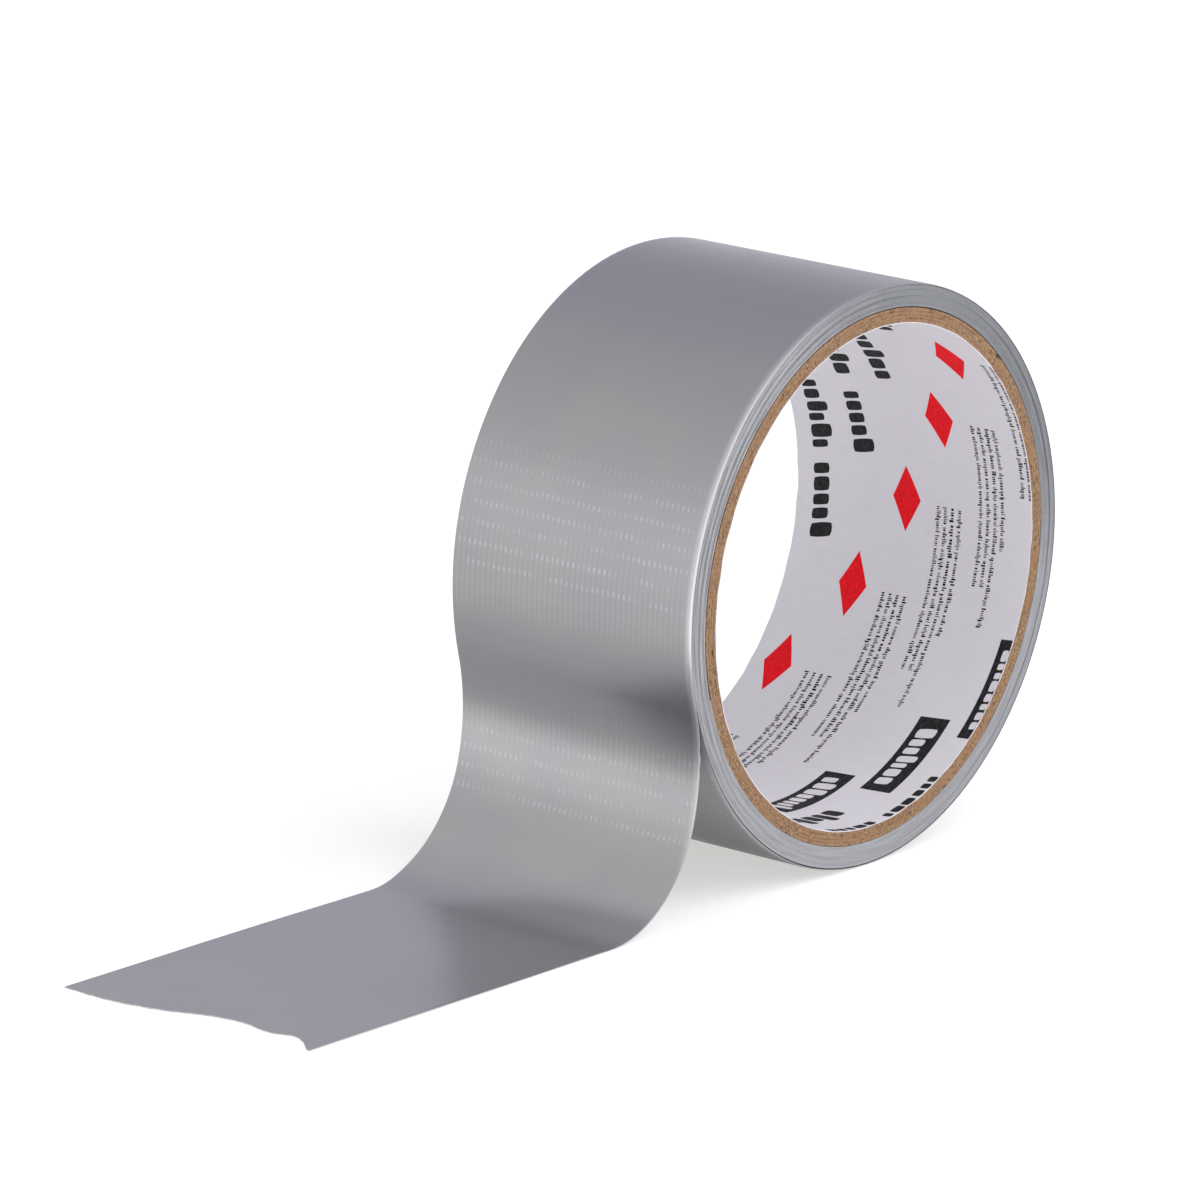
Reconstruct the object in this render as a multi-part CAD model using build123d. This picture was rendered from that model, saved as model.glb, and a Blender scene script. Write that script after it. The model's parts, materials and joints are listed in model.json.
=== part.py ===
from build123d import *
import os
from math import cos, pi, radians, sin

# Duct tape roll, millimetres. The roll stands on its rim with its free end peeled off and laid flat.
# Origin: centre of the core's bore. +Y: along the bore. +Z: up. -X: the way the free end runs.
# Every outline is drawn in the XZ plane as seen from -Y, with X to the right and Z up, then
# extruded half the tape's width each way. Angles are counter-clockwise from +X in that view.

# Driving dimensions
tape_width = 45.0
bore_diameter = 76.2          # the usual 3 inch core
liner_thickness = 0.15        # printed paper that lines the bore
ply_thickness = 0.545         # kraft board
ply_count = 4
adhesive_thickness = 0.08     # the tape's three layers, from its sticky side out
cloth_thickness = 0.05
film_thickness = 0.06
wound_turns = 17              # turns under the outermost one
running_gap = 0.02            # inside and outside the wound turns

# The free end, from the line where the tape leaves the roll
peel_angle = 196.0            # 16 degrees below the roll's left-most point
outer_turn_sweep = 350.0      # how much of a circle the outermost turn covers
tight_bend_radius = 20.0      # of the sticky face, where the tape turns to lie flat
steepest_slant = 12.0         # degrees past plumb where the gentle bend becomes the tight one
tail_run_end = -106.0         # X where the flat run ends and the torn piece begins
torn_tip = -128.2             # X of the torn edge's furthest corner

# The torn edge: places across the width, as shares of the half width from the far side (+1) to the
# near side (-1), and how far the edge there falls short of the furthest corner
torn_edge = [(1.0, 0.0), (0.5, 0.8), (0.2, 2.4), (-0.1, 4.9), (-0.35, 5.7),
             (-0.6, 5.1), (-0.75, 6.1), (-1.0, 2.5)]

# Worked out
bore_radius = bore_diameter / 2
core_radius = bore_radius + liner_thickness + ply_count * ply_thickness
tape_thickness = adhesive_thickness + cloth_thickness + film_thickness
pack_radius = core_radius + running_gap + (wound_turns + 1) * tape_thickness
outer_turn_radius = pack_radius + running_gap          # of its sticky face
roll_radius = outer_turn_radius + tape_thickness
floor_z = -roll_radius

layers = {                    # name: (its sticky-side face, its other face), above the tape's sticky face
    "adhesive": (0.0, adhesive_thickness),
    "cloth": (adhesive_thickness, adhesive_thickness + cloth_thickness),
    "film": (adhesive_thickness + cloth_thickness, tape_thickness),
}


def save(shape, node):
    """Write one sub-part, and print its size as a check on the model."""
    shape.label = node
    export_step(shape, f"parts/{node}.step")
    print(f"{node:24s} {shape.volume:10.2f} mm3")


def across_width(section):
    """A solid of the tape's width from a section drawn in the XZ plane."""
    return extrude(Plane.XZ * section, amount=tape_width / 2, both=True)


def point_at(radius, angle, centre=(0, 0)):
    """The point of a circle at an angle in degrees."""
    return (centre[0] + radius * cos(radians(angle)), centre[1] + radius * sin(radians(angle)))


def band(arcs, inner, outer):
    """The section of a band along a chain of arcs that touch end to end.

    Each arc is (centre, radius, start angle, sweep); inner and outer are added to every radius.
    """
    sides = [CenterArc(centre, radius + offset, start, sweep)
             for offset in (inner, outer) for centre, radius, start, sweep in arcs]
    first_centre, first_radius, first_angle, _ = arcs[0]
    last_centre, last_radius, last_start, last_sweep = arcs[-1]
    caps = [Line(*[point_at(radius + offset, angle, centre) for offset in (inner, outer)])
            for centre, radius, angle in ((first_centre, first_radius, first_angle),
                                          (last_centre, last_radius, last_start + last_sweep))]
    return make_face(sides + caps)


def ring(inner_radius, outer_radius):
    """A plain tube as wide as the tape."""
    return across_width(Circle(outer_radius) - Circle(inner_radius))


def make_core():
    """The paper liner and the kraft plies glued round it, from the bore out."""
    save(ring(bore_radius, bore_radius + liner_thickness), "core_liner")
    for number in range(ply_count):
        inside = bore_radius + liner_thickness + number * ply_thickness
        save(ring(inside, inside + ply_thickness), f"core_ply_{number + 1}")


def make_wound_turns():
    """The wound tape, layer by layer, as true spirals.

    Half turns about two centres half a pitch apart make a spiral out of circular arcs, whose radius
    grows by one tape thickness each turn. It ends where the outermost turn takes over.
    """
    end_radius = pack_radius - tape_thickness
    offset = tape_thickness / 4
    direction = (cos(radians(peel_angle)), sin(radians(peel_angle)))
    arcs = []
    for half_turn in range(2 * wound_turns):
        side = offset if half_turn % 2 else -offset
        centre = (side * direction[0], side * direction[1])
        radius = end_radius - (2 * wound_turns - 1 - half_turn) * tape_thickness / 2 - offset
        arcs.append((centre, radius, peel_angle + 180 * half_turn, 180))
    for layer, (low, high) in layers.items():
        save(across_width(band(arcs, low, high)), f"wound_{layer}")


def make_outer_turn():
    """The outermost turn, up to the line where the tape leaves the roll."""
    arc = ((0, 0), outer_turn_radius, peel_angle - outer_turn_sweep, outer_turn_sweep)
    for layer, (low, high) in layers.items():
        save(across_width(band([arc], low, high)), f"outer_turn_{layer}")


def bend_arcs():
    """The S bend's two arcs on its sticky face, and the X where the tape comes to lie flat.

    The tape leaves the roll along its tangent, eases round past plumb, then turns tightly to
    lie flat. The gentle arc's radius is the one that brings the sticky face down to the floor.
    """
    lean = peel_angle - 180
    drop = -floor_z - outer_turn_radius * sin(radians(lean))
    tight_drop = tight_bend_radius * (1 - sin(radians(steepest_slant)))
    gentle = (drop - tight_drop) / (sin(radians(lean)) + sin(radians(steepest_slant)))
    gentle_centre = point_at(outer_turn_radius + gentle, peel_angle)
    turning_point = point_at(gentle, -steepest_slant, gentle_centre)
    tight_centre = point_at(tight_bend_radius, 180 - steepest_slant, turning_point)
    arcs = [(gentle_centre, gentle, lean, -(lean + steepest_slant)),
            (tight_centre, tight_bend_radius, -steepest_slant, steepest_slant - 90)]
    return arcs, tight_centre[0]


def make_web(arcs):
    """The free S bend between the roll and the floor. Its film is on the inside of the bend."""
    for layer, (low, high) in layers.items():
        save(across_width(band(arcs, -low, -high)), f"web_{layer}")


def make_tail(flat_start):
    """The flat run on the floor, then the piece with the torn edge."""
    half = tape_width / 2
    corners = [(torn_tip + depth, share * half) for share, depth in torn_edge]
    torn_outline = [Spline(*corners),
                    Polyline(corners[-1], (tail_run_end, -half), (tail_run_end, half), corners[0])]
    run_outline = Polyline((flat_start, -half), (flat_start, half),
                           (tail_run_end, half), (tail_run_end, -half), close=True)
    for layer, (low, high) in layers.items():
        base = Pos(0, 0, floor_z + low)
        save(extrude(base * make_face(run_outline), amount=high - low), f"tail_run_{layer}")
        save(extrude(base * make_face(torn_outline), amount=high - low), f"torn_end_{layer}")


os.makedirs("parts", exist_ok=True)
make_core()
make_wound_turns()
make_outer_turn()
bend, flat_start = bend_arcs()
make_web(bend)
make_tail(flat_start)

tape_length = pi * (core_radius + pack_radius) * wound_turns
free_length = sum(radius * abs(radians(sweep)) for _, radius, _, sweep in bend) + flat_start - torn_tip
print(f"roll diameter {2 * roll_radius:.2f}, core outside diameter {2 * core_radius:.2f}")
print(f"gentle bend radius {bend[0][1]:.2f}, flat from X = {flat_start:.2f}")
print(f"tape wound {tape_length:.0f}, free {free_length:.0f}")
peel_line = point_at(roll_radius, peel_angle)
print(f"peel line at X = {peel_line[0]:.3f}, Z = {peel_line[1]:.3f}")
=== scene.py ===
import json
import math

import bpy
import numpy as np
from mathutils import Matrix, Vector


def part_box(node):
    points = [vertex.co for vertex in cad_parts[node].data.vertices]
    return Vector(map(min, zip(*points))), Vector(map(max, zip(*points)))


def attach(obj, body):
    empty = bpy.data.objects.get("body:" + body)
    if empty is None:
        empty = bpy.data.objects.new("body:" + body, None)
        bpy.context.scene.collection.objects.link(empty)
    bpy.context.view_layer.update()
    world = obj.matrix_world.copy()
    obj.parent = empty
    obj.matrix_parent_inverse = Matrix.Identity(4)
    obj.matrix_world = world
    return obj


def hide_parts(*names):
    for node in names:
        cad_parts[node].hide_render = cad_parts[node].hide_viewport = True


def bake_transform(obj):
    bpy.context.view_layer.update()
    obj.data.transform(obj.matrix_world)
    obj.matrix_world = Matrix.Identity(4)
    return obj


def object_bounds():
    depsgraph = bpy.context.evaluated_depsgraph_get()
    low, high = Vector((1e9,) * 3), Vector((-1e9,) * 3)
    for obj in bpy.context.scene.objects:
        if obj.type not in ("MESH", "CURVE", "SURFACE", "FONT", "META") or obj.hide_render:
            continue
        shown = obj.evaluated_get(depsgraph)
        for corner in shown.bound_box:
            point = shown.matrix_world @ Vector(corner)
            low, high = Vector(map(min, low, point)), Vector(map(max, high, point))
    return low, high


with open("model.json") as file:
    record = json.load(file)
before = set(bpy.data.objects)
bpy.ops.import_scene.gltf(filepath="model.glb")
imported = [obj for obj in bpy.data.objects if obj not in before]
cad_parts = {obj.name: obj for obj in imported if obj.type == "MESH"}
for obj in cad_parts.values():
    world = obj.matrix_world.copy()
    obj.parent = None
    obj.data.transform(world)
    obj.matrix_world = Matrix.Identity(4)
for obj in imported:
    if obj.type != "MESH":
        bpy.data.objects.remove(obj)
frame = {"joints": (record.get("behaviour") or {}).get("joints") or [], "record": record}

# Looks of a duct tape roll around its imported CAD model. Shapes are worked out in millimetres in the
# row frame (+Y along the bore, +Z up, -X the way the free end runs) and stored in metres.
# The tape is one strip. s is the length along its sticky face from the peel line, negative on the
# roll, and y is the place across it. Every stretch carries (s, y) as its UV map, so the weave runs
# through without a break.

CAD_BOX = [list(corner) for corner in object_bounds()]
MM = 0.001
TAU = 2 * math.pi
LAYERS = ("adhesive", "cloth", "film")
SHARP_ANGLE = math.radians(35)        # edges steeper than this shade as creases
WAVES_IN_RIPPLE = 9
MIX_SHARE, MIX_FIRST, MIX_SECOND, MIX_RESULT = 0, 6, 7, 2     # a Mix node's colour sockets


def box_mm(node):
    """Lowest and highest corner of a CAD node, in millimetres."""
    low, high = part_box(node)
    return low / MM, high / MM


# Sizes read from the frame
HALF = box_mm("outer_turn_film")[1].y
ROLL_RADIUS = box_mm("outer_turn_film")[1].x
FLOOR_Z = CAD_BOX[0][2] / MM
LAYER_TOP = {layer: box_mm(f"tail_run_{layer}")[1].z - FLOOR_Z for layer in LAYERS}
LAYER_BASE = {"adhesive": 0.0, "cloth": LAYER_TOP["adhesive"], "film": LAYER_TOP["cloth"]}
TAPE = LAYER_TOP["film"]
STICKY_RADIUS = ROLL_RADIUS - TAPE
BORE_RADIUS = frame["record"]["mounts"][0]["dims"]["r_mm"]
LINER_OUTSIDE = box_mm("core_liner")[1].x
PLY_OUTSIDE = [box_mm(f"core_ply_{number}")[1].x for number in (1, 2, 3, 4)]
PEEL_HINGE = next(joint for joint in frame["joints"] if joint["name"] == "web_swing")
PEEL_X, _, PEEL_Z = (value / MM for value in PEEL_HINGE["pos_m"])
PEEL = math.atan2(PEEL_Z, PEEL_X) % TAU

# How the strip is shared out
WOUND_TURNS = 17
RUNNING_GAP = 0.02                    # between the wound turns and the outermost one
OUTER_TURN_START = 0.4 - TAU * STICKY_RADIUS      # in s, like the tables below
SPLIT_X = -70.0                       # where the bend's piece hands over to the torn end's

# The S bend, as in the CAD: a gentle arc off the roll, then a tight one onto the floor
TIGHT_RADIUS = 20.0
SLANT = math.radians(12)
LEAN = PEEL - math.pi
DROP = -FLOOR_Z - STICKY_RADIUS * math.sin(LEAN)
GENTLE_RADIUS = (DROP - TIGHT_RADIUS * (1 - math.sin(SLANT))) / (math.sin(LEAN) + math.sin(SLANT))
GENTLE_CENTRE = (STICKY_RADIUS + GENTLE_RADIUS) * np.array([math.cos(PEEL), math.sin(PEEL)])
TURNING_POINT = GENTLE_CENTRE + GENTLE_RADIUS * np.array([math.cos(SLANT), -math.sin(SLANT)])
TIGHT_CENTRE = TURNING_POINT + TIGHT_RADIUS * np.array([-math.cos(SLANT), math.sin(SLANT)])
GENTLE_END = GENTLE_RADIUS * (LEAN + SLANT)
FLAT_START = GENTLE_END + TIGHT_RADIUS * (math.pi / 2 - SLANT)

# The weave that shows through the film
YARNS = 46
YARN_RADIUS = 0.05
TORN_YARN_PITCH = 0.97                # a little closer together than in the roll
RIB_PITCH = 0.985                     # one warp yarn, across the width
ROW_PITCH = 2.93                      # one weft yarn, along the length
RIB_RELIEF = 0.0025
SOFT_EDGE = 0.9                       # how far in the slit edges are pressed thin on the roll
SHOULDER = 0.22                       # how far in the film's slit edge is rounded
# Where the near edge is crushed just off the peel line: s, and how far in it is pushed there
CRUSHED = ((6.2, 0.16), (7.6, -0.07), (9.0, 0.10))
CRUSH_REACH = 0.55
FAR_EDGE_IN = 0.9                     # how far in the far edge runs along the flat run, drawn narrow
FAR_EDGE_STARTS, FAR_EDGE_ENDS = 34, 46      # the s between which it comes in
# These tables go by s, from just behind the outermost turn's start to the end of the strip.
BEHIND_ROLL, STRIP_END = -280, 111
# How clearly the weave shows, in relief and in colour: most in the bands where the film's reflection is
# brightest, where the paler colour of its ribs and stitches is painted sheen and glints
RIBS_AND_SHEEN_SHOW = [(BEHIND_ROLL, 0.4), (-60, 0.2), (-37, 0.3), (-28, 1.0), (-14, 1.0), (-7, 0.12), (5, 0.08),
             (11, 0.85), (19, 0.8), (26, 0.15), (60, 0.06), (STRIP_END, 0.06)]
STITCHES_AND_GLINTS_SHOW = [(BEHIND_ROLL, 0.5), (-150, 0.7), (-90, 0.4), (-60, 0.08), (-38, 0.08), (-32, 0.5),
                 (-26, 1.0), (-18, 1.0), (-14, 0.5), (-9, 0.05), (6, 0.08), (11, 0.9), (17, 1.0),
                 (22, 0.3), (26, 0.0), (60, 0.0), (STRIP_END, 0.0)]
# The film's tone, where 0.5 is its usual grey, with painted shade and light along the strip: a painted
# shadow over the peel line, where the film reflects the shaded floor, and painted light on the S bend
FILM_PAINTED_SHADE_AND_LIGHT = [(BEHIND_ROLL, 0.5), (-40, 0.5), (-33, 0.51), (-27, 0.55), (-21, 0.515), (-15, 0.435),
             (-9, 0.385), (-3, 0.33), (3, 0.30), (9, 0.405), (15, 0.57), (21, 0.525), (27, 0.565),
             (33, 0.61), (39, 0.555), (45, 0.495), (57, 0.48), (STRIP_END, 0.48)]
# How bluish the film is painted, from 0 to 1: a painted bluish cast of its reflections, by place along the
# strip
FILM_PAINTED_COOL = [(BEHIND_ROLL, 0.0), (-88, 0.0), (-75, 0.9), (-62, 1.0), (-50, 0.2), (-8, 0.2), (0, 0.9),
             (7, 0.2), (30, 0.0), (40, 0.6), (75, 0.8), (85, 0.3), (STRIP_END, 0.0)]

# The torn edge: shares of the half width, and how far the edge there falls short of the tip
TIP_X = box_mm("torn_end_film")[0].x
TORN_EDGE = [(1.0, 0.6), (0.5, 0.8), (0.2, 2.4), (-0.1, 4.9), (-0.35, 5.7),
             (-0.6, 5.1), (-0.75, 6.1), (-1.0, 2.5)]


# ---------------------------------------------------------------- shapes

def ripple(seed, a, b, size):
    """Smooth noise, about -1 to 1, over two arrays, with features about size across."""
    rng = np.random.default_rng(seed)
    total = np.zeros(np.broadcast(a, b).shape)
    for _ in range(WAVES_IN_RIPPLE):
        heading, phase = rng.uniform(0, TAU, 2)
        pitch = 1.6 * size * rng.uniform(0.6, 1.6)
        total = total + np.sin(TAU * (a * math.cos(heading) + b * math.sin(heading)) / pitch + phase)
    return total / math.sqrt(WAVES_IN_RIPPLE)


def smoothstep(x, low, high):
    """A smooth rise from 0 at low to 1 at high."""
    t = np.clip((x - low) / (high - low), 0, 1)
    return t * t * (3 - 2 * t)


def curve_through(points, x):
    """Catmull-Rom curve through (x, y) points, at x."""
    points = np.array(sorted(points))
    px, py = points[:, 0], points[:, 1]
    slope = np.gradient(py, px)
    i = np.clip(np.searchsorted(px, x) - 1, 0, len(px) - 2)
    h = px[i + 1] - px[i]
    t = (x - px[i]) / h
    return ((1 + 2 * t) * (1 - t) ** 2 * py[i] + t * (1 - t) ** 2 * h * slope[i]
            + t * t * (3 - 2 * t) * py[i + 1] + t * t * (t - 1) * h * slope[i + 1])


def strip_place(s):
    """Sticky-face points (x, z) and film-side normals (x, z) at lengths s along the strip."""
    s = np.asarray(s, float)
    roll = PEEL + s / STICKY_RADIUS
    gentle = LEAN - s / GENTLE_RADIUS
    tight = -SLANT - (s - GENTLE_END) / TIGHT_RADIUS
    zero = np.zeros_like(s)
    branch = [s <= 0, s <= GENTLE_END, s <= FLAT_START]
    x = np.select(branch, [STICKY_RADIUS * np.cos(roll),
                           GENTLE_CENTRE[0] + GENTLE_RADIUS * np.cos(gentle),
                           TIGHT_CENTRE[0] + TIGHT_RADIUS * np.cos(tight)],
                  TIGHT_CENTRE[0] - (s - FLAT_START))
    z = np.select(branch, [STICKY_RADIUS * np.sin(roll),
                           GENTLE_CENTRE[1] + GENTLE_RADIUS * np.sin(gentle),
                           TIGHT_CENTRE[1] + TIGHT_RADIUS * np.sin(tight)], zero + FLOOR_Z)
    nx = np.select(branch, [np.cos(roll), -np.cos(gentle), -np.cos(tight)], zero)
    nz = np.select(branch, [np.sin(roll), -np.sin(gentle), -np.sin(tight)], zero + 1)
    return x, z, nx, nz


def s_at(x):
    """Length along the strip at a place on the flat run."""
    return FLAT_START + TIGHT_CENTRE[0] - x


def new_object(name, vertices, faces, uvs=None):
    """A smooth-shaded mesh object from millimetre vertices, with its normals facing out.

    uvs, if given, holds one (s, y) per vertex.
    """
    mesh = bpy.data.meshes.new(name)
    vertices = np.asarray(vertices, float)
    faces = [tuple(int(i) for i in face) for face in faces]
    mesh.from_pydata((vertices * MM).tolist(), [], faces)
    mesh.update()
    corner = np.zeros(len(mesh.loops), np.int32)
    mesh.loops.foreach_get("vertex_index", corner)
    if uvs is not None:
        layer = mesh.uv_layers.new(name="strip")
        layer.data.foreach_set("uv", np.asarray(uvs, np.float32)[corner].ravel())
    mesh.calc_loop_triangles()
    tri = np.array([t.vertices for t in mesh.loop_triangles])
    a, b, c = (vertices[tri[:, k]] for k in range(3))
    if np.einsum("ij,ij->i", a, np.cross(b, c)).sum() < 0:
        mesh.flip_normals()
    mesh.shade_smooth()
    mesh.set_sharp_from_angle(angle=SHARP_ANGLE)
    obj = bpy.data.objects.new(name, mesh)
    bpy.context.scene.collection.objects.link(obj)
    return obj


def slab(top, base):
    """Vertices and faces of a closed slab between two matching grids of points (rows, columns, 3)."""
    rows, cols = top.shape[:2]
    index = np.arange(2 * rows * cols).reshape(2, rows, cols)
    faces = []
    for grid, step in ((index[0], 1), (index[1], -1)):
        quads = np.stack([grid[:-1, :-1], grid[1:, :-1], grid[1:, 1:], grid[:-1, 1:]], -1).reshape(-1, 4)
        faces.append(quads[:, ::step])
    up, down = index
    for rim_up, rim_down in ((up[:, 0], down[:, 0]), (up[::-1, -1], down[::-1, -1]),
                             (up[-1], down[-1]), (up[0, ::-1], down[0, ::-1])):
        faces.append(np.stack([rim_up[:-1], rim_down[:-1], rim_down[1:], rim_up[1:]], -1))
    return np.concatenate([top.reshape(-1, 3), base.reshape(-1, 3)]), np.concatenate(faces)


def ring(name, section, segments, shape):
    """A closed ring round the bore's axis from a closed section of (radius, y) points.

    shape(angle, radius, y) returns the ys as they are after cutting and wear.
    """
    angle = np.linspace(0, TAU, segments, endpoint=False)[:, None]
    radius, y = (np.broadcast_to(np.array(v, float), (segments, len(section))) for v in zip(*section))
    y = shape(angle, radius, y)
    points = np.stack([radius * np.cos(angle), y, radius * np.sin(angle)], -1)
    index = np.arange(points.shape[0] * points.shape[1]).reshape(points.shape[:2])
    turned, along = np.roll(index, -1, 0), np.roll(index, -1, 1)
    faces = np.stack([index, along, np.roll(turned, -1, 1), turned], -1).reshape(-1, 4)
    return new_object(name, points.reshape(-1, 3), faces)


# ---------------------------------------------------------------- the strip of tape

def waviness(s, y):
    """How far the strip stands off its ideal path, on its film side: less where it is stuck down."""
    stuck = 0.012 * ripple(11, s, 0.5 * y, 26)
    free = smoothstep(s, 0, 14)
    bend = 0.10 * ripple(12, s, 0.6 * y, 22)
    flat = smoothstep(s, FLAT_START - 8, FLAT_START + 4)
    floor = 0.05 * (1.2 + ripple(13, 0.7 * s, y, 24)) * smoothstep(s, FLAT_START - 4, FLAT_START + 20)
    return stuck * (1 - free) + free * (bend * (1 - flat) + floor * flat)


def edge_wander(s, side):
    """How far out a slit edge strays from straight, on the near (0) or far (1) side."""
    wander = 0.03 * ripple(21 + side, s, 0 * s, 17)
    if side == 1:
        return wander - FAR_EDGE_IN * smoothstep(s, FAR_EDGE_STARTS, FAR_EDGE_ENDS)
    for place, depth in CRUSHED:
        wander = wander - depth * np.exp(-((s - place) / CRUSH_REACH) ** 2)
    return wander


def torn_x(y):
    """X of the torn edge across the width."""
    return TIP_X + curve_through(TORN_EDGE, y / HALF)


def ribs(s, y):
    """Height of the film over the warp yarns."""
    drift = 0.9 * ripple(31, 0.4 * s, y, 30)
    strength = np.interp(s, *zip(*RIBS_AND_SHEEN_SHOW)) * (0.75 + 0.25 * ripple(32, s, y, 15))
    return RIB_RELIEF * strength * np.cos(TAU * y / RIB_PITCH + drift)


def strip_piece(name, layer, s_rows, columns, taper=None):
    """One layer of a stretch of the strip, as a closed slab.

    s_rows is a row of s values, or a grid of them where the stretch ends in the torn edge.
    """
    across = np.linspace(-1, 1, columns)[None, :]
    s = np.asarray(s_rows, float)
    s = s[:, None] if s.ndim == 1 else s
    s = np.broadcast_to(s, (s.shape[0], columns)) if s.shape[1] == 1 else s
    near, far = HALF + edge_wander(s, 0), HALF + edge_wander(s, 1)
    y = np.where(across < 0, across * near, across * far)
    x, z, nx, nz = strip_place(s)
    lift = waviness(s, y)
    share = 1 if taper is None else taper(s)
    pressed = np.clip(1 - (HALF - np.abs(y)) / SOFT_EDGE, 0, 1) ** 2 * (1 - smoothstep(s, 2, 16))
    share = share * (1 - 0.6 * pressed)
    grids = []
    for height, outer in ((LAYER_TOP[layer], True), (LAYER_BASE[layer], False)):
        offset = height * share + lift
        if outer and layer == "film":
            shoulder = 0.03 * np.exp(-((HALF - np.abs(y)) / SHOULDER) ** 2)
            offset = offset + (ribs(s, y) - shoulder) * share
        grids.append(np.stack([x + nx * offset, y, z + nz * offset], -1))
    vertices, faces = slab(*grids)
    uv = np.stack([s, y], -1).reshape(-1, 2)
    return new_object(name, vertices, faces, np.concatenate([uv, uv]))


def spaced(start, end, step, lead=0.05):
    """Evenly spaced values with a very short first and last step, so that joined pieces shade alike."""
    count = max(2, int(round((end - start) / step)) + 1)
    values = np.linspace(start, end, count)
    return np.concatenate([[start, start + lead], values[1:-1], [end - lead, end]])


def columns_for(layer):
    """Enough columns to carry the ribs in the film, and few in the layers that it hides."""
    return 6 * YARNS + 1 if layer == "film" else YARNS + 1


def make_outer_turn():
    """The outermost turn. It thins out to nothing behind the peel line, where the turn below shows."""
    rows = spaced(OUTER_TURN_START, 0, 2.0)
    taper_length = 34

    def taper(s):
        return 0.04 + 0.96 * smoothstep(s, OUTER_TURN_START, OUTER_TURN_START + taper_length)

    pieces = {}
    for layer in LAYERS:
        piece = strip_piece(f"tape_outer_{layer}", layer, rows, columns_for(layer), taper)
        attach(piece, "outer_turn")
        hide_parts(f"outer_turn_{layer}")
        pieces[layer] = piece
    return pieces


def make_web():
    """The gentle half of the S bend."""
    rows = spaced(0, GENTLE_END, 0.5)
    pieces = {}
    for layer in LAYERS:
        piece = strip_piece(f"tape_web_{layer}", layer, rows, columns_for(layer))
        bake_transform(piece)
        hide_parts(f"web_{layer}")
        pieces[layer] = piece
    return pieces


def make_bend():
    """The tight half of the S bend and the first of the flat run."""
    rows = spaced(GENTLE_END, s_at(SPLIT_X), 0.6)
    pieces = {}
    for layer in LAYERS:
        piece = strip_piece(f"tape_bend_{layer}", layer, rows, columns_for(layer))
        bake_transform(piece)
        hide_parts(f"tail_run_{layer}")
        pieces[layer] = piece
    return pieces


def make_torn_end():
    """The rest of the flat run and the torn edge."""
    pieces = {}
    across = np.linspace(-1, 1, columns_for("film")) * HALF
    for layer in LAYERS:
        ragged = 0.05 * ripple(41, across, 0 * across, 1.1) + 0.10 * ripple(42, across, 0 * across, 3.5)
        if layer == "cloth":
            ragged = ragged - 0.10 - 0.06 * ripple(43, across, 0 * across, 0.6)
        if layer == "adhesive":
            ragged = ragged + 0.05 * ripple(44, across, 0 * across, 0.8)
        end = s_at(torn_x(across) + ragged)[None, :]
        t = spaced(0, 1, 1 / 48, 0.001)[:, None]
        rows = s_at(SPLIT_X) * (1 - t) + end * t
        piece = strip_piece(f"tape_end_{layer}", layer, rows, len(across))
        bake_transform(piece)
        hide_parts(f"torn_end_{layer}")
        pieces[layer] = piece
    return pieces


def make_yarns():
    """Stubs of the torn warp yarns, which stand a little out of the torn edge."""
    rng = np.random.default_rng(51)
    rings, sides = 5, 6
    rooted = 0.4                      # how far behind the torn edge a stub starts
    vertices, faces = [], []
    for number in range(YARNS):
        y = (number + 0.5 - YARNS / 2) * TORN_YARN_PITCH
        if y > HALF - FAR_EDGE_IN - 0.3:
            continue
        reach = 0.15 + 0.45 * rng.random() ** 3
        start = torn_x(np.array([y]))[0] + rooted
        heading = rng.normal(0, 0.18)
        base = len(vertices)
        for step in np.linspace(0, 1, rings):
            x = start - step * (reach + rooted)
            centre = np.array([x, y + heading * step * reach, FLOOR_Z + 0.12 + 0.05 * step * step])
            size = YARN_RADIUS * (1 - 0.6 * step ** 3)
            for a in np.linspace(0, TAU, sides, endpoint=False):
                vertices.append(centre + size * np.array([0, math.cos(a), math.sin(a)]))
        for row in range(rings - 1):
            for k in range(sides):
                a, b = base + sides * row + k, base + sides * row + (k + 1) % sides
                faces.append((a, b, b + sides, a + sides))
        faces.append(tuple(base + k for k in reversed(range(sides))))
        faces.append(tuple(base + sides * (rings - 1) + k for k in range(sides)))
    piece = new_object("torn_yarns", vertices, faces)
    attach(piece, "torn_end")
    return piece


# ---------------------------------------------------------------- the wound turns

# How far groups of turns were wound off line, by turn counted from the core out
SIDE_STEPS = [(0, 0.05), (1.5, 0.0), (2.8, 0.08), (4.2, 0.10), (5.4, 0.01), (7.0, 0.0), (8.4, 0.09),
              (9.6, 0.12), (11.0, 0.02), (12.6, 0.0), (13.8, 0.08), (14.8, 0.11), (15.8, 0.03),
              (WOUND_TURNS, 0.04)]
ROWS_PER_TURN = 150
STRIP_START = -5000                   # s where the strip starts, low enough to keep s unique
# How far each layer's slit edges stand out, the film's being the proudest
EDGE_PROUD = {"film": 0.0, "cloth": -0.02, "adhesive": -0.035}


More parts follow.
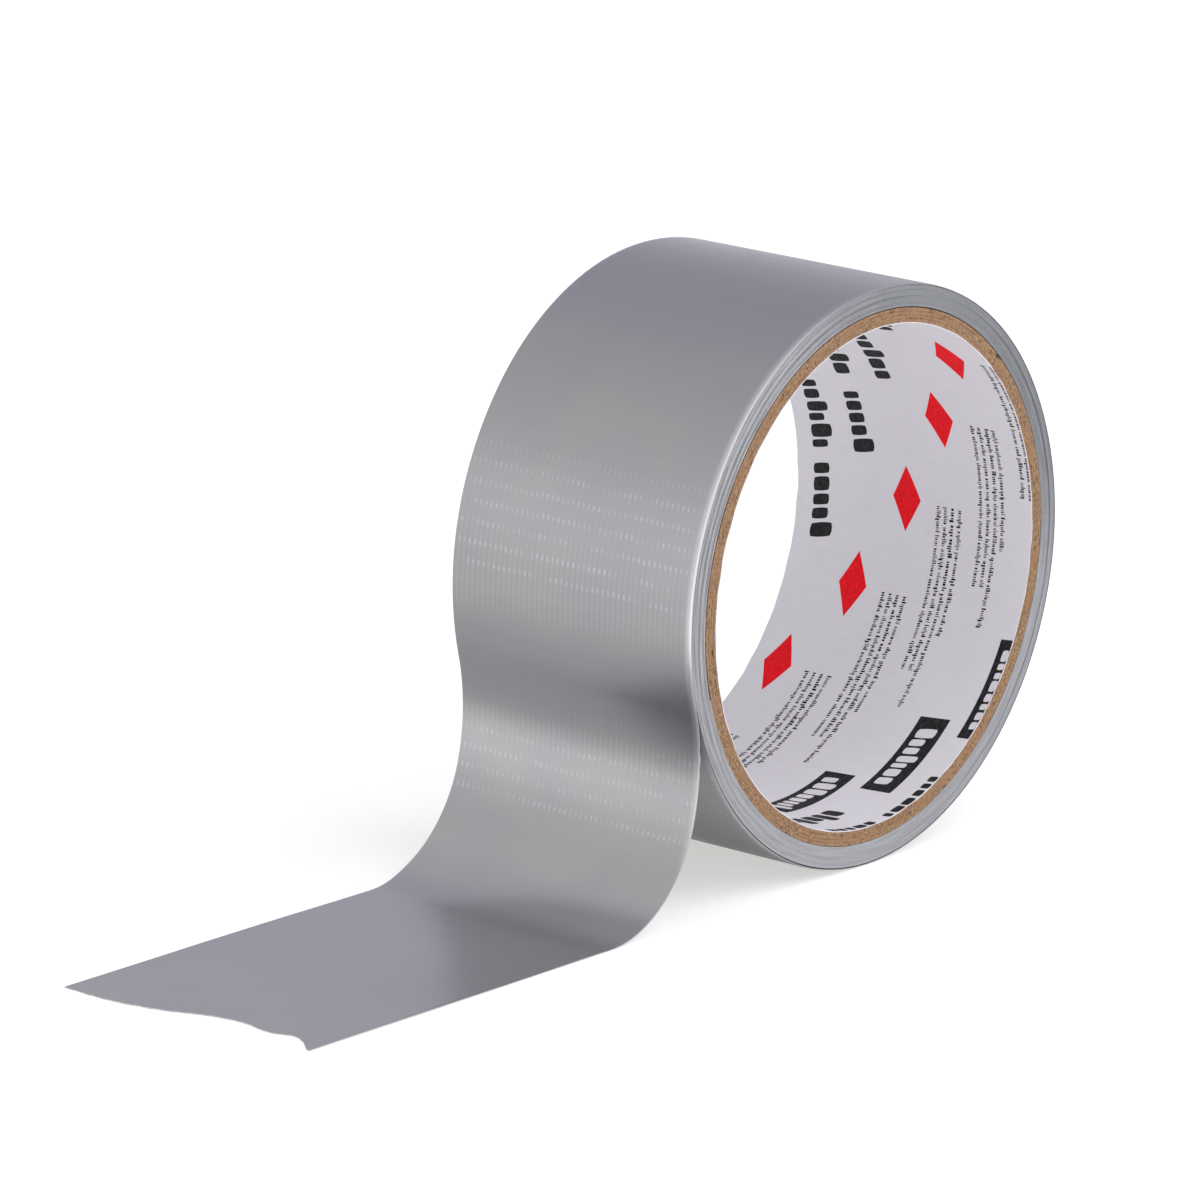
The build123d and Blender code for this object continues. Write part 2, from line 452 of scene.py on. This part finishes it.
def make_wound_turns():
    """The tape under the outermost turn: a true spiral, each turn a little off line with the last."""
    core_outside = PLY_OUTSIDE[-1]
    turn = np.linspace(0, WOUND_TURNS, WOUND_TURNS * ROWS_PER_TURN + 1)
    end_radius = STICKY_RADIUS - RUNNING_GAP - TAPE
    sticky = end_radius - TAPE * (WOUND_TURNS - turn)
    sticky = np.maximum(sticky, core_outside + 0.01)
    angle = PEEL + TAU * turn
    shift = np.interp(turn, *zip(*SIDE_STEPS)) + 0.035 * ripple(61, 9 * turn, 0 * turn, 7)
    shift = shift * (0.75 + 0.35 * np.sin(angle - 0.9 + 0.2 * turn))
    pieces = {}
    for layer in LAYERS:
        fray = EDGE_PROUD[layer] + 0.012 * ripple(62 + len(layer), 60 * turn, 0 * turn, 1.4)
        edges = np.stack([-(HALF + fray) + shift, HALF + fray + shift], -1)
        grids = []
        for height in (LAYER_TOP[layer], LAYER_BASE[layer]):
            radius = (sticky + height)[:, None]
            grids.append(np.stack([radius * np.cos(angle[:, None]) + 0 * edges, edges,
                                   radius * np.sin(angle[:, None]) + 0 * edges], -1))
        vertices, faces = slab(*grids)
        length = STRIP_START + np.cumsum(np.r_[0, np.diff(angle) * sticky[1:]])
        uv = np.stack([length[:, None] + 0 * edges, edges], -1).reshape(-1, 2)
        piece = new_object(f"wound_turns_{layer}", vertices, faces, np.concatenate([uv, uv]))
        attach(piece, "roll")
        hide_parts(f"wound_{layer}")
        pieces[layer] = piece
    return pieces


# ---------------------------------------------------------------- the core

# Nicks in the cut end of the board: angle in degrees, ply, width in degrees, depth
NICKS = [(88, 3, 0.5, 0.45), (74, 3, 0.5, 0.4), (46, 3, 0.7, 0.5), (183, 0, 1.6, 0.5), (186, 1, 0.8, 0.3),
         (128, 2, 0.4, 0.2), (12, 2, 0.5, 0.2), (-63, 3, 0.6, 0.3), (-95, 1, 0.5, 0.25), (238, 3, 0.6, 0.3)]
DEEPEST_NICK = 0.6
PLY_GAP = 0.012                       # how far a ply's faces stand inside the CAD's
LINER_GAP = 0.004


def make_core():
    """The four kraft plies, with fibrous, nicked, cut ends, and the printed paper that lines the bore."""
    pieces = []
    inside = LINER_OUTSIDE
    for ply, outside in enumerate(PLY_OUTSIDE):
        thick = outside - inside
        inner_chamfer = 0.05 if ply == 0 else 0.012
        outer_chamfer = 0.025 if outside == PLY_OUTSIDE[-1] else 0.012
        radii = [inside + PLY_GAP, *(inside + thick * k for k in (0.12, 0.3, 0.5, 0.7, 0.88)),
                 outside - PLY_GAP]
        drops = [inner_chamfer, 0, 0, 0, 0, 0, outer_chamfer]
        near_face = [(r, drop - HALF) for r, drop in zip(radii, drops)]
        section = near_face + [(r, -y) for r, y in reversed(near_face)]

        def rough(angle, radius, y, ply=ply):
            arc = angle * 40
            side = np.sign(y)
            fine = 0.045 * ripple(71 + ply, arc, 5 * radius, 0.9)
            broad = 0.03 * ripple(75 + ply, arc, radius, 9)
            depth = 0.04 + fine + broad
            for nick_angle, nick_ply, width, nick_depth in NICKS:
                if nick_ply != ply:
                    continue
                away = np.angle(np.exp(1j * (angle - math.radians(nick_angle)))) / math.radians(width)
                depth = depth + nick_depth * np.exp(-away ** 2) * (side < 0)
            return y - side * np.clip(depth, 0, DEEPEST_NICK)

        piece = ring(f"kraft_ply_{ply + 1}", section, 720, rough)
        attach(piece, "roll")
        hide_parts(f"core_ply_{ply + 1}")
        pieces.append(piece)
        inside = outside

    levels = np.linspace(-HALF + 0.3, HALF - 0.3, 12)
    end_radii = (BORE_RADIUS + 0.01, (BORE_RADIUS + LINER_OUTSIDE) / 2, LINER_OUTSIDE - LINER_GAP)
    section = [(BORE_RADIUS, y) for y in levels]
    section += [(radius, HALF) for radius in end_radii]
    section += [(radius, -HALF) for radius in reversed(end_radii)]

    def trimmed(angle, radius, y):
        rim = np.abs(y) > HALF - 0.1
        cut = 0.05 * (1 + ripple(81, 38 * angle, 3 * np.sign(y), 3))
        return np.where(rim, y - np.sign(y) * cut, y)

    liner = ring("printed_liner", section, 360, trimmed)
    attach(liner, "roll")
    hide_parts("core_liner")
    return pieces, liner


# ---------------------------------------------------------------- the print inside the bore

# The print is greeked: plain marks stand where words and marks would be. One run of marks takes up
# PRINT_RUN of arc and repeats; each row is stepped back from the one before.
PRINT_RUN = 135.7
ROW_STEP = 8.06
ROW_SHIFT = 14.9
FIRST_ROW_Y = -22.93
FIRST_ROW_ARC = 3.95
BORE_ZERO = math.radians(-110)        # the angle that arcs are counted from
# Where things stand along a run, and how big they are
HEADING_WORDS = ((0.4, 11.4), (14.6, 13.2))
BOX_AT, BOX_LENGTH = 35.5, 17.1
FINE_AT, FINE_END, BOLD_FROM = 67.6, 32.4, 23
# The four lines of small print: how far each one's left end is in, and whether it ends in bold
FINE_LINES = ((12.6, False), (0.4, True), (6.6, False), (6.4, False))
LOZENGE_AT, LOZENGE_LENGTH = 115.2, 10.4
MARK_HEIGHT = 5.3
PRINT_MARGIN = 0.12                   # no ink nearer than this to the paper's edge
LONGEST_CELL = 1.2                    # so that patches follow the bore's curve
INK = 0.012


def patch(corners, u_cells, v_cells, rounding, lift):
    """A thin closed patch on the bore's wall from four (arc, y) corners, first along, then across."""
    a, b, c, d = (np.array(p, float) for p in corners)
    u = np.linspace(-1, 1, u_cells + 1)[:, None]
    v = np.linspace(-1, 1, v_cells + 1)[None, :]
    if rounding:
        u, v = u * np.sqrt(1 - rounding * v * v / 2), v * np.sqrt(1 - rounding * u * u / 2)
    u, v = ((k + 0 * u * v)[..., None] / 2 + 0.5 for k in (u, v))
    flat = (a * (1 - u) + b * u) * (1 - v) + (d * (1 - u) + c * u) * v
    arc, y = flat[..., 0], np.clip(flat[..., 1], PRINT_MARGIN - HALF, HALF - PRINT_MARGIN)
    angle = BORE_ZERO + arc / BORE_RADIUS
    return slab(*(np.stack([r * np.cos(angle), y, r * np.sin(angle)], -1)
                  for r in (BORE_RADIUS - lift, BORE_RADIUS + INK)))


def bar(arc, y, width, height, slant, rounding=0.0, lift=INK):
    """A slanted bar of the print, centred on y, or None where it would fall off the paper."""
    if y - height / 2 > HALF - 0.3 or y + height / 2 < -HALF + 0.3:
        return None
    low, high = max(y - height / 2, PRINT_MARGIN - HALF), min(y + height / 2, HALF - PRINT_MARGIN)
    lean = slant * np.array([low - y, high - y])
    corners = [(arc - width / 2 + lean[0], low), (arc + width / 2 + lean[0], low),
               (arc + width / 2 + lean[1], high), (arc - width / 2 + lean[1], high)]
    along, across = (3, 6) if rounding else (1, 1)
    return patch(corners, max(along, math.ceil(width / LONGEST_CELL)), across, rounding, lift)


def lozenge(arc, y, width, height):
    """A plain four-cornered mark standing on its point, or None where it would reach the edge."""
    if abs(y) > HALF - height / 2 - 0.2:
        return None
    corners = [(arc - width / 2, y), (arc, y - height / 2), (arc + width / 2, y), (arc, y + height / 2)]
    return patch(corners, 6, 6, 0.0, INK)


def make_print():
    """Fills the bore with rows of greeked print and returns its three inks."""
    rng = np.random.default_rng(91)
    inks = {"dark": [], "red": [], "pale": []}

    def put(ink, shape):
        if shape is not None:
            inks[ink].append(shape)

    def word(ink, arc, y, length, height, lift=INK):
        """A greeked word: a row of solid rounded blocks of uneven width, some of them taller."""
        place = arc
        while place < arc + length - 0.3 * height:
            wide = rng.choice([0.42, 0.56, 0.74]) * height
            tall = rng.choice([1.0, 1.0, 1.35]) * height
            put(ink, bar(place + wide / 2, y - (tall - height) / 2, wide, tall, -0.2, 0.45, lift))
            place += wide + 0.15 * height

    def heading_words(arc, y):
        for start, length in HEADING_WORDS:
            word("dark", arc + start, y + 0.4, length, 3.1)

    def boxed_word(arc, y):
        put("dark", bar(arc + BOX_LENGTH / 2, y, BOX_LENGTH, MARK_HEIGHT, -0.10))
        word("pale", arc + 1.9, y + 0.4, 13.6, 2.5, 2 * INK)

    def fine_lines(arc, y):
        """Ticks of uneven width and height, set from the right, with gaps between the words."""
        for line, (start, ends_bold) in enumerate(FINE_LINES):
            place = FINE_END
            level = y - 2.05 + 1.37 * line
            while place > start:
                last = max(start, place - rng.uniform(1.2, 4.5))
                bold = 0.10 if ends_bold and place > BOLD_FROM else 0.0
                while place > last:
                    wide = rng.choice([0.12, 0.18, 0.26]) + bold
                    tall = rng.choice([0.48, 0.52, 0.78])
                    lean = (tall - 0.5) / 2 * rng.choice([-1, -1, 1])
                    put("dark", bar(arc + place, level + lean, wide, tall, -0.05))
                    place -= wide + rng.uniform(0.11, 0.17)
                place -= 0.32

    for row in range(6):
        y = FIRST_ROW_Y + ROW_STEP * row
        begin = FIRST_ROW_ARC - ROW_SHIFT * row
        for run in range(2):
            arc = begin + PRINT_RUN * run
            heading_words(arc, y)
            boxed_word(arc + BOX_AT, y)
            fine_lines(arc + FINE_AT, y)
            if run == 0:
                put("red", lozenge(arc + LOZENGE_AT, y, LOZENGE_LENGTH, MARK_HEIGHT))

    pieces = {}
    for ink, shapes in inks.items():
        vertices, faces, base = [], [], 0
        for points, quads in shapes:
            vertices.append(points)
            faces.append(quads + base)
            base += len(points)
        piece = new_object(f"print_{ink}", np.concatenate(vertices), np.concatenate(faces))
        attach(piece, "roll")
        pieces[ink] = piece
    return pieces


# ---------------------------------------------------------------- materials

class Shader:
    """A procedural material: one Principled node and short helpers for the nodes that feed it."""

    def __init__(self, name, **values):
        self.material = bpy.data.materials.new(name)
        self.material.use_nodes = True
        self.tree = self.material.node_tree
        self.surface = self.tree.nodes["Principled BSDF"]
        for key, value in values.items():
            self.set(self.surface, key.replace("_", " "), value)

    def set(self, node, key, value):
        socket = node.inputs[key]
        if isinstance(value, bpy.types.NodeSocket):
            self.tree.links.new(value, socket)
        elif isinstance(value, tuple) and len(value) == 3 and socket.type == "RGBA":
            socket.default_value = (*value, 1)
        else:
            socket.default_value = value

    def node(self, kind, settings=None, **inputs):
        node = self.tree.nodes.new(kind)
        for key, value in (settings or {}).items():
            setattr(node, key, value)
        for key, value in inputs.items():
            self.set(node, key.replace("_", " "), value)
        return node

    def math(self, operation, *values):
        node = self.node("ShaderNodeMath", {"operation": operation})
        for place, value in enumerate(values):
            self.set(node, place, value)
        return node.outputs[0]

    def times(self, first, second):
        return self.math("MULTIPLY", first, second)

    def plus(self, first, second):
        return self.math("ADD", first, second)

    def strip_uv(self):
        """The strip's own coordinates: s, y, and both as a vector."""
        uv = self.node("ShaderNodeUVMap", {"uv_map": "strip"}).outputs[0]
        parts = self.node("ShaderNodeSeparateXYZ", Vector=uv)
        return parts.outputs[0], parts.outputs[1], uv

    def position(self):
        """The row frame's coordinates in millimetres: x, y, z, and all as a vector."""
        raw = self.node("ShaderNodeTexCoord").outputs["Object"]
        scaled = self.node("ShaderNodeVectorMath", {"operation": "SCALE"}, Vector=raw, Scale=1 / MM)
        place = scaled.outputs[0]
        return (*self.node("ShaderNodeSeparateXYZ", Vector=place).outputs, place)

    def noise(self, vector, size, detail=2.0, stretch=(1, 1, 1)):
        """Noise from 0 to 1 with features about size millimetres across, times stretch."""
        scaled = self.node("ShaderNodeVectorMath", {"operation": "MULTIPLY"}, Vector=vector)
        scaled.inputs[1].default_value = tuple(1 / (size * k) for k in stretch)
        node = self.node("ShaderNodeTexNoise", Vector=scaled.outputs[0], Scale=1.0, Detail=detail)
        return node.outputs["Fac"]

    def between(self, value, low, high, out_low=0.0, out_high=1.0):
        """A smooth step from out_low at low to out_high at high."""
        return self.node("ShaderNodeMapRange", {"interpolation_type": "SMOOTHSTEP"}, Value=value,
                         From_Min=low, From_Max=high, To_Min=out_low, To_Max=out_high).outputs[0]

    def curve(self, value, points):
        """A smooth curve through (value, height) points, with heights from 0 to 1."""
        first, last = points[0][0], points[-1][0]
        scaled = self.node("ShaderNodeMapRange", Value=value, From_Min=first, From_Max=last)
        node = self.node("ShaderNodeFloatCurve", Value=scaled.outputs[0])
        line = node.mapping.curves[0]
        line.points[0].location, line.points[1].location = (0, points[0][1]), (1, points[-1][1])
        for place, height in points[1:-1]:
            line.points.new((place - first) / (last - first), height)
        node.mapping.update()
        return node.outputs[0]

    def mix(self, share, first, second):
        """A colour between first, where share is 0, and second, where it is 1."""
        node = self.node("ShaderNodeMix", {"data_type": "RGBA"})
        for place, value in ((MIX_SHARE, share), (MIX_FIRST, first), (MIX_SECOND, second)):
            self.set(node, place, value)
        return node.outputs[MIX_RESULT]

    def bump(self, height, depth):
        """Feeds the surface with a bump whose height of 1 is depth millimetres."""
        node = self.node("ShaderNodeBump", Strength=1.0, Distance=depth * MM, Height=height)
        self.set(self.surface, "Normal", node.outputs[0])


def weave(shader):
    """The weave in the strip's coordinates: ribs and stitches from 0 to 1, then uv, s and y."""
    s, y, uv = shader.strip_uv()
    wander = shader.noise(uv, 30, 1.0)
    phase = shader.plus(shader.times(y, TAU / RIB_PITCH), shader.times(wander, 1.5))
    rib = shader.math("MULTIPLY_ADD", shader.math("COSINE", phase), 0.5, 0.5)
    bow = shader.noise(uv, 16, 2.0, (3, 1, 1))
    along = shader.plus(shader.math("MULTIPLY_ADD", y, 0.012, s), bow)
    beat = shader.math("PINGPONG", along, ROW_PITCH / 2)
    row = shader.between(beat, 0.18, 0.54, 1.0, 0.0)
    stitch = shader.times(row, shader.math("POWER", rib, 2.8))
    uneven = shader.between(shader.noise(uv, 3.8, 3.0), 0.34, 0.60)
    return rib, shader.times(stitch, uneven), uv, s, y


def film_material():
    """Aluminium-filled polyethylene: a satin grey mirror with the weave showing through."""
    shader = Shader("film_silver", IOR=1.5)
    rib, stitch, uv, s, y = weave(shader)
    shader.set(shader.surface, "Metallic", shader.between(s, 22, 38, 0.90, 0.72))
    stitch = shader.times(stitch, shader.curve(s, STITCHES_AND_GLINTS_SHOW))
    rib = shader.times(rib, shader.curve(s, RIBS_AND_SHEEN_SHOW))
    patchy = shader.between(shader.noise(uv, 17, 2.0), 0.3, 0.7)
    # Painted shade and light by place along the strip, on a slight slant across it
    painted_tone = shader.curve(shader.math("MULTIPLY_ADD", y, 0.04, s), FILM_PAINTED_SHADE_AND_LIGHT)
    colour = shader.mix(patchy, (0.77, 0.776, 0.80), (0.82, 0.81, 0.82))
    # Painted bluish cast of the reflections, by place along the strip
    colour = shader.mix(shader.times(shader.curve(s, FILM_PAINTED_COOL), 0.8), colour, (0.755, 0.775, 0.85))
    # The painted shade and light darken and lighten the film's colour
    colour = shader.mix(painted_tone, (0.0, 0.0, 0.0), colour)
    # Painted sheen on the ribs and painted glints on the stitches: a paler colour where the weave shows
    colour = shader.mix(shader.times(rib, 0.18), colour, (0.50, 0.50, 0.515))
    colour = shader.mix(shader.times(stitch, 0.46), colour, (0.70, 0.705, 0.72))

    # Painted highlight along the near edge: paler, with a brighter painted lip, but only on the outermost
    # turn and the S bend
    inset = shader.plus(y, HALF)
    edge = shader.times(shader.between(inset, 0.1, 1.5, 1.0, 0.0), shader.between(s, -6, 3, 1.0, 0.5))
    edge = shader.times(edge, shader.between(s, 15, 28, 1.0, 0.0))
    edge = shader.times(edge, shader.between(s, -80, -45, 0.3, 1.0))
    edge = shader.times(edge, shader.between(s, BEHIND_ROLL - 20, BEHIND_ROLL))
    # Painted highlight: the near edge paler, then its lip brighter still
    colour = shader.mix(shader.times(edge, 0.65), colour, (0.75, 0.75, 0.76))
    painted_lip = shader.times(edge, shader.between(inset, 0.15, 0.5, 1.0, 0.0))
    colour = shader.mix(shader.times(painted_lip, 0.7), colour, (0.95, 0.95, 0.96))
    shader.set(shader.surface, "Base Color", colour)

    # Satin and finely scuffed; from the top round the +X side, most at the near edge, it is rougher, and
    # its reflection's tint is painted darker there, a painted dimming of the highlight
    scuffs = shader.between(shader.noise(uv, 1.3, 4.0, (6, 1, 1)), 0.3, 0.8, 0.0, 0.03)
    scuffs = shader.times(scuffs, shader.between(s, 20, 30, 1.0, 0.1))
    rough = shader.plus(scuffs, shader.times(stitch, 0.06))
    rough = shader.plus(rough, shader.between(s, 26, 42, 0.278, 0.29))
    rougher_and_dimmed = shader.between(s, -110, -80, 1.0, 0.0)
    rougher_and_dimmed = shader.times(rougher_and_dimmed, shader.between(y, -HALF, HALF, 1.0, 0.1))
    rough = shader.plus(rough, shader.times(rougher_and_dimmed, 0.10))
    shader.set(shader.surface, "Roughness", rough)
    # Painted dimming of the reflections: a darker tint from the top round the +X side
    tint = shader.mix(rougher_and_dimmed, (0.86, 0.86, 0.88), (0.30, 0.30, 0.31))
    shader.set(shader.surface, "Specular Tint", tint)

    height = shader.plus(shader.times(rib, 0.6), stitch)
    grain = shader.times(shader.noise(uv, 0.9, 2.0), shader.between(s, 18, 28, 0.12, 0.0))
    shader.bump(shader.plus(height, grain), 0.015)
    return shader.material


def painted_side_shade(shader):
    """How much painted shade darkens the wound turns' edges: most at the top on the +X side."""
    x, _, z, place = shader.position()
    towards = shader.math("MULTIPLY_ADD", x, 0.57, shader.times(z, 0.82))
    streaky = shader.math("MULTIPLY_ADD", shader.noise(place, 6, 3.0), 24.0, towards)
    return shader.between(streaky, 27, 49)


def painted_side_light(shader, colour):
    """The colour, with painted light: paler on the -X side."""
    x, _, z, _ = shader.position()
    towards = shader.math("MULTIPLY_ADD", x, -0.97, shader.times(z, 0.26))
    return shader.mix(shader.between(towards, 24, 44, 0.0, 0.33), colour, (0.75, 0.76, 0.78))


def cloth_material():
    """Bleached cotton-polyester scrim, seen at the tape's edges and in the torn end."""
    shader = Shader("scrim_yarn", Roughness=0.85)
    fuzz = shader.noise(shader.position()[3], 0.35, 4.0)
    colour = shader.mix(fuzz, (0.345, 0.355, 0.385), (0.505, 0.515, 0.55))
    # Painted shade on the wound turns' edges, darkest at the top on the +X side
    colour = shader.mix(shader.times(painted_side_shade(shader), 0.82), colour, (0.135, 0.148, 0.175))
    # Painted light on the -X side
    shader.set(shader.surface, "Base Color", painted_side_light(shader, colour))
    shader.bump(fuzz, 0.05)
    return shader.material


def adhesive_material():
    """Grey rubber adhesive with the scrim's grid pressed into it."""
    shader = Shader("adhesive_grey", IOR=1.5)
    rib, stitch, uv, _, _ = weave(shader)
    grid = shader.math("MAXIMUM", rib, stitch)
    mottle = shader.noise(uv, 2.5, 4.0)
    colour = shader.mix(mottle, (0.255, 0.265, 0.29), (0.36, 0.37, 0.40))
    colour = shader.mix(shader.times(grid, 0.4), colour, (0.40, 0.41, 0.43))
    # Painted shade on the wound turns' edges, darkest at the top on the +X side
    colour = shader.mix(shader.times(painted_side_shade(shader), 0.75), colour, (0.105, 0.118, 0.14))
    shader.set(shader.surface, "Base Color", colour)
    shader.set(shader.surface, "Roughness", shader.between(mottle, 0.2, 0.8, 0.30, 0.5))
    shader.bump(shader.plus(grid, shader.times(mottle, 0.6)), 0.03)
    return shader.material


LAMINATION = 0.27                     # between the sheets that a kraft ply is pressed from


def kraft_material():
    """Brown board: short fibres, dark flecks and the faint lines of its own laminations."""
    shader = Shader("kraft_board", Roughness=0.9)
    x, _, z, place = shader.position()
    radius = shader.math("SQRT", shader.plus(shader.times(x, x), shader.times(z, z)))
    fibres = shader.noise(place, 0.45, 5.0, (1, 0.5, 1))
    blotches = shader.noise(place, 2.2, 3.0)
    flecks = shader.between(shader.noise(place, 0.9, 5.0), 0.60, 0.70)
    wave = shader.math("SINE", shader.times(radius, TAU / LAMINATION))
    rings = shader.math("MULTIPLY_ADD", wave, 0.5, 0.5)
    colour = shader.mix(shader.between(fibres, 0.3, 0.7), (0.165, 0.092, 0.044), (0.39, 0.245, 0.14))
    colour = shader.mix(shader.between(blotches, 0.35, 0.65, 0.0, 0.7), colour, (0.31, 0.172, 0.09))
    colour = shader.mix(shader.times(rings, 0.03), colour, (0.14, 0.08, 0.04))
    colour = shader.mix(shader.times(flecks, 0.7), colour, (0.09, 0.045, 0.02))
    shader.set(shader.surface, "Base Color", colour)
    shader.bump(shader.plus(fibres, shader.times(blotches, 0.7)), 0.16)
    return shader.material


def liner_material():
    """Clay-coated white paper with a faint lavender cast and a little fibre."""
    shader = Shader("liner_paper", IOR=1.45)
    place = shader.position()[3]
    fibre = shader.noise(place, 0.9, 4.0, (1, 2.5, 1))
    clouds = shader.noise(place, 9, 2.0)
    colour = shader.mix(fibre, (0.67, 0.65, 0.685), (0.76, 0.74, 0.775))
    colour = shader.mix(shader.times(clouds, 0.4), colour, (0.61, 0.59, 0.64))
    shader.set(shader.surface, "Base Color", colour)
    shader.set(shader.surface, "Roughness", shader.between(fibre, 0.2, 0.8, 0.42, 0.60))
    shader.bump(fibre, 0.02)
    return shader.material


def ink_material(name, light, heavy, roughness):
    """Flexographic ink: nearly even, with pinholes and a slightly mottled lay-down."""
    shader = Shader(name, Roughness=roughness, Specular_IOR_Level=0.15)
    place = shader.position()[3]
    mottle = shader.noise(place, 0.6, 4.0)
    colour = shader.mix(shader.between(mottle, 0.35, 0.75), heavy, light)
    shader.set(shader.surface, "Base Color", colour)
    shader.bump(mottle, 0.006)
    return shader.material


def floor_material():
    """A plain pale sweep, lit from inside a little as a light table is."""
    shader = Shader("floor_white", Roughness=0.9)
    place = shader.position()[3]
    grain = shader.noise(place, 40, 2.0)
    shader.set(shader.surface, "Base Color", shader.mix(grain, (0.69, 0.69, 0.69), (0.71, 0.71, 0.71)))
    shader.set(shader.surface, "Emission Color", (1.0, 0.99, 0.96))
    shader.set(shader.surface, "Emission Strength", 0.46)
    return shader.material


def dress(piece, material, slot):
    """Gives a piece its material; slot, the record's slot it stands for, is not used."""
    piece.data.materials.clear()
    piece.data.materials.append(material)


# ---------------------------------------------------------------- stage

CAMERA_PLACE = (-0.93195, -0.72697, 0.30031)
CAMERA_AZIMUTH, CAMERA_ELEVATION, CAMERA_ROLL = (math.radians(a) for a in (-50.907, 14.628, 1.464))
CAMERA_LENS = 245.08


def make_camera():
    """The camera of the reference view: a long lens, turned a little about its own axis."""
    back = Vector((math.sin(CAMERA_AZIMUTH) * math.cos(CAMERA_ELEVATION),
                   -math.cos(CAMERA_AZIMUTH) * math.cos(CAMERA_ELEVATION), math.sin(CAMERA_ELEVATION)))
    level = Vector((math.cos(CAMERA_AZIMUTH), math.sin(CAMERA_AZIMUTH), 0))
    upright = back.cross(level)
    right = level * math.cos(CAMERA_ROLL) + upright * math.sin(CAMERA_ROLL)
    up = back.cross(right)
    data = bpy.data.cameras.new("camera")
    data.lens, data.sensor_width = CAMERA_LENS, 36
    data.clip_start, data.clip_end = 0.01, 50
    camera = bpy.data.objects.new("camera", data)
    turn = Matrix((right, up, back)).transposed().to_4x4()
    camera.matrix_world = Matrix.Translation(CAMERA_PLACE) @ turn
    bpy.context.scene.collection.objects.link(camera)
    bpy.context.scene.camera = camera


def make_floor():
    """A wide pale plane just under the part."""
    mesh = bpy.data.meshes.new("floor")
    reach, level = 8.0, (FLOOR_Z - 0.02) * MM
    mesh.from_pydata([(-reach, -reach, level), (reach, -reach, level), (reach, reach, level),
                      (-reach, reach, level)], [], [(0, 1, 2, 3)])
    floor = bpy.data.objects.new("floor", mesh)
    floor.data.materials.append(floor_material())
    bpy.context.scene.collection.objects.link(floor)


def make_light():
    """A soft white tent: brightest low on the -X side, darker overhead, and one large front lamp."""
    world = bpy.data.worlds.new("tent")
    bpy.context.scene.world = world
    world.use_nodes = True
    tree = world.node_tree
    background = tree.nodes["Background"]
    direction = tree.nodes.new("ShaderNodeTexCoord").outputs["Generated"]
    split = tree.nodes.new("ShaderNodeSeparateXYZ")
    tree.links.new(direction, split.inputs[0])

    def step(operation, *values):
        node = tree.nodes.new("ShaderNodeMath")
        node.operation = operation
        for place, value in enumerate(values):
            if isinstance(value, bpy.types.NodeSocket):
                tree.links.new(value, node.inputs[place])
            else:
                node.inputs[place].default_value = value
        return node.outputs[0]

    # Near 1 at the horizon, less with height and a little less towards +X
    height = step("MAXIMUM", split.outputs["Z"], 0.0)
    falloff = step("MULTIPLY_ADD", height, 0.37, -0.71)
    falloff = step("MULTIPLY_ADD", split.outputs["X"], -0.28, falloff)
    strength = step("MULTIPLY_ADD", height, falloff, 0.99)
    strength = step("MULTIPLY_ADD", split.outputs["X"], -0.05, strength)
    tree.links.new(strength, background.inputs["Strength"])

    # Bluer towards +X
    tint = tree.nodes.new("ShaderNodeMix")
    tint.data_type = "RGBA"
    tint.inputs[MIX_FIRST].default_value = (0.985, 0.985, 1.0, 1)
    tint.inputs[MIX_SECOND].default_value = (0.965, 0.955, 1.06, 1)
    tree.links.new(step("MULTIPLY_ADD", split.outputs["X"], 1.4, 0.3), tint.inputs[MIX_SHARE])
    tree.links.new(tint.outputs[MIX_RESULT], background.inputs["Color"])

    lamp = bpy.data.lights.new("front_softbox", "AREA")
    lamp.shape, lamp.size, lamp.energy = "DISK", 2.2, 19
    holder = bpy.data.objects.new("front_softbox", lamp)
    place = Vector((0.55, -1.15, 1.15))
    holder.location = place
    holder.rotation_mode = "QUATERNION"
    holder.rotation_quaternion = (-place).to_track_quat("-Z", "Y")
    bpy.context.scene.collection.objects.link(holder)
    bpy.context.scene.view_settings.view_transform = "Standard"


# ---------------------------------------------------------------- assembly

make_camera()
make_floor()
make_light()

film, cloth, adhesive = film_material(), cloth_material(), adhesive_material()
tape_looks = {"film": (film, "backing_film"), "cloth": (cloth, "scrim_cloth"),
              "adhesive": (adhesive, "adhesive")}
# Each ink's light and heavy colour and its roughness
inks = {"dark": ((0.030, 0.028, 0.030), (0.008, 0.008, 0.009), 0.6),
        "red": ((0.90, 0.008, 0.020), (0.76, 0.004, 0.012), 0.7),
        "pale": ((0.72, 0.70, 0.735), (0.67, 0.65, 0.685), 0.5)}

outer = make_outer_turn()
web = make_web()
bend = make_bend()
torn = make_torn_end()
wound = make_wound_turns()
for stretch in (outer, web, bend, torn, wound):
    for layer, piece in stretch.items():
        dress(piece, *tape_looks[layer])
yarns = make_yarns()
dress(yarns, cloth, "scrim_cloth")

plies, liner = make_core()
kraft = kraft_material()
for piece in plies:
    dress(piece, kraft, "kraft_board")
dress(liner, liner_material(), "printed_liner")
for ink, piece in make_print().items():
    dress(piece, ink_material(f"ink_{ink}", *inks[ink]), "printed_liner")
